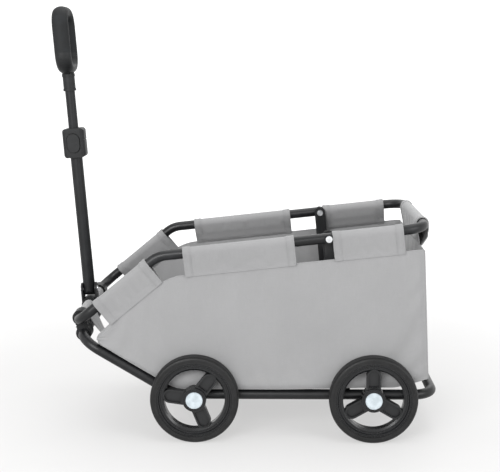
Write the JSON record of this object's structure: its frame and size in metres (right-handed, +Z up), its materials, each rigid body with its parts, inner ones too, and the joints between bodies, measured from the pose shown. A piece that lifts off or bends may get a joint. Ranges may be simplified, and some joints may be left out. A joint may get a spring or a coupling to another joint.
{
  "type": "kids pull wagon",
  "caption": "Folding pull wagon with a bent tube chassis, hinged tube rim, grey fabric tub, spoked wheels and a telescoping pull handle with a loop grip.",
  "frame": {"origin": "on the ground under the middle of the wagon's overall box", "axes": "+X to the rear, +Y to the wagon's right, +Z up"},
  "size_m": [0.8497, 0.489, 0.9283],
  "materials": {
    "frame_paint": "satin black powder coat",
    "plain_steel": "zinc plated",
    "bright_steel": "bright nickel",
    "black_plastic": "fine moulded texture",
    "button_plastic": "fine moulded texture",
    "wheel_plastic": "semi-gloss",
    "tyre_rubber": "smooth rubber",
    "cap_silver": "silver lacquer",
    "grip_foam": "soft matt",
    "board": "hollow plastic board",
    "grey_fabric": "plain woven polyester"
  },
  "bodies": {
    "chassis": {"chassis_ring": "frame_paint", "axle_tubes": "frame_paint", "front_axle": "plain_steel", "rear_axle": "plain_steel", "axle_spacers": "black_plastic", "axle_nuts": "bright_steel", "hinge_front_halves": "black_plastic", "hinge_rear_halves": "black_plastic", "hinge_screws": "plain_steel", "post_catches": "black_plastic", "floor_board": "board", "tub_floor": "grey_fabric", "tub_left": "grey_fabric", "tub_right": "grey_fabric", "tub_front": "grey_fabric", "tub_rear": "grey_fabric"},
    "rim": {"rim_ring": "frame_paint", "pivot_bolts": "bright_steel", "pivot_nuts": "bright_steel", "pivot_caps": "black_plastic", "flaps_left": "grey_fabric", "flaps_right": "grey_fabric", "flap_rear": "grey_fabric", "sleeves_front": "grey_fabric"},
    "post_left": {"post_left": "frame_paint"},
    "post_right": {"post_right": "frame_paint"},
    "wheel_front_left": {"front_left_tyre": "tyre_rubber", "front_left_rim": "wheel_plastic", "front_left_bearings": "plain_steel", "front_left_cap": "cap_silver"},
    "wheel_front_right": {"front_right_tyre": "tyre_rubber", "front_right_rim": "wheel_plastic", "front_right_bearings": "plain_steel", "front_right_cap": "cap_silver"},
    "wheel_rear_left": {"rear_left_tyre": "tyre_rubber", "rear_left_rim": "wheel_plastic", "rear_left_bearings": "plain_steel", "rear_left_cap": "cap_silver"},
    "wheel_rear_right": {"rear_right_tyre": "tyre_rubber", "rear_right_rim": "wheel_plastic", "rear_right_bearings": "plain_steel", "rear_right_cap": "cap_silver"},
    "handle_base": {"handle_fork": "black_plastic", "collar_cap": "black_plastic", "collar_screws": "plain_steel", "fork_pin": "plain_steel"},
    "handle_lower": {"lower_tube": "frame_paint", "lower_foot": "black_plastic", "lock_housing_left": "black_plastic", "lock_housing_right": "black_plastic", "housing_screws": "plain_steel", "guide_bush": "black_plastic", "lock_shoe": "black_plastic"},
    "lock_button": {"lock_button": "button_plastic"},
    "handle_upper": {"upper_tube": "frame_paint", "slide_plug": "black_plastic", "neck_collar": "black_plastic", "grip_core": "black_plastic", "grip_cover": "grip_foam"}
  },
  "joints": [
    {"name": "rim_fold", "type": "hinge", "parent": "chassis", "child": "rim", "pos_m": [-0.35913, 0, 0.252], "axis": [0, 1, 0], "range_deg": [0, 24], "deforming": ["tub_floor", "tub_left", "tub_right", "tub_front", "tub_rear", "flaps_left", "flaps_right", "flap_rear"]},
    {"name": "post_left_swing", "type": "hinge", "parent": "rim", "child": "post_left", "pos_m": [0.18187, -0.176, 0.43941], "axis": [0, 1, 0], "range_deg": [0, 86.4]},
    {"name": "post_right_swing", "type": "hinge", "parent": "rim", "child": "post_right", "pos_m": [0.18187, 0.176, 0.43941], "axis": [0, 1, 0], "range_deg": [0, 86.4]},
    {"name": "wheel_front_left_spin", "type": "hinge", "parent": "chassis", "child": "wheel_front_left", "pos_m": [-0.10353, -0.227, 0.095], "axis": [0, 1, 0], "continuous": true},
    {"name": "wheel_front_right_spin", "type": "hinge", "parent": "chassis", "child": "wheel_front_right", "pos_m": [-0.10353, 0.227, 0.095], "axis": [0, 1, 0], "continuous": true},
    {"name": "wheel_rear_left_spin", "type": "hinge", "parent": "chassis", "child": "wheel_rear_left", "pos_m": [0.27987, -0.227, 0.095], "axis": [0, 1, 0], "continuous": true},
    {"name": "wheel_rear_right_spin", "type": "hinge", "parent": "chassis", "child": "wheel_rear_right", "pos_m": [0.27987, 0.227, 0.095], "axis": [0, 1, 0], "continuous": true},
    {"name": "handle_pitch", "type": "hinge", "parent": "chassis", "child": "handle_base", "pos_m": [-0.35913, 0, 0.252], "axis": [0, 1, 0], "range_deg": [-76, 44]},
    {"name": "handle_swing", "type": "hinge", "parent": "handle_base", "child": "handle_lower", "pos_m": [-0.36149, 0, 0.28492], "axis": [0.9974, 0, 0.0715], "range_deg": [-30, 30]},
    {"name": "handle_telescope", "type": "slide", "parent": "handle_lower", "child": "handle_upper", "axis": [-0.0715, 0, 0.9974], "range_m": [-0.074, 0.145]},
    {"name": "lock_button_press", "type": "slide", "parent": "handle_lower", "child": "lock_button", "axis": [0, 1, 0], "range_m": [0, 0.003], "stiffness_N_per_m": 400}
  ],
  "couplings": [
    {"joint": "post_left_swing", "follows": "rim_fold", "ratio": 3.6},
    {"joint": "post_right_swing", "follows": "rim_fold", "ratio": 3.6}
  ]
}
